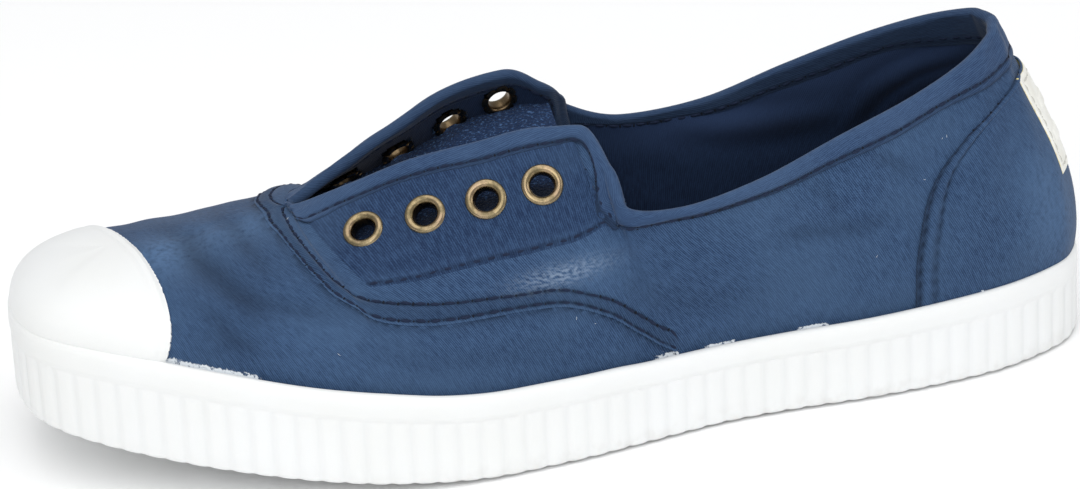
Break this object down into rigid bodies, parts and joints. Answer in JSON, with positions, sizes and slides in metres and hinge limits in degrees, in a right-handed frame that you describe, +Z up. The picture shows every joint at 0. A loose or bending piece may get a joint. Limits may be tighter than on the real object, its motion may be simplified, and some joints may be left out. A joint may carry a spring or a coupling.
{
  "type": "canvas sneaker",
  "caption": "Low laceless canvas sneaker, left foot, hollow upper with elastic gusset, metal eyelets, rubber toe cap, rubber sidewall and treaded sole.",
  "frame": {"origin": "on the floor, in the middle of the shoe's length and of its whole width", "axes": "+Y runs from the toe to the heel, +X to the outer (lateral) side of a left shoe, +Z up from the floor"},
  "size_m": [0.0962, 0.2584, 0.0796],
  "materials": {
    "canvas": "washed navy cotton twill with visible diagonal weave, tone-on-tone stitching",
    "elastic": "dark navy elastic web with a looped, terry-like face",
    "rubber": "matt white vulcanised rubber",
    "brass": "antique brass with worn bright rims",
    "lining": "dark navy cotton lining",
    "patch": "off-white label with a yellowed raw edge, plain raised bars"
  },
  "bodies": {
    "root": {"outsole": "rubber", "foxing": "rubber", "insole": "lining", "upper": "canvas", "toe_cap": "rubber", "heel_patch": "patch", "elastic_gusset": "elastic", "eyelet_lateral_1": "brass", "eyelet_lateral_2": "brass", "eyelet_lateral_3": "brass", "eyelet_lateral_4": "brass", "eyelet_medial_1": "brass", "eyelet_medial_2": "brass", "eyelet_medial_3": "brass", "eyelet_medial_4": "brass"}
  },
  "joints": []
}
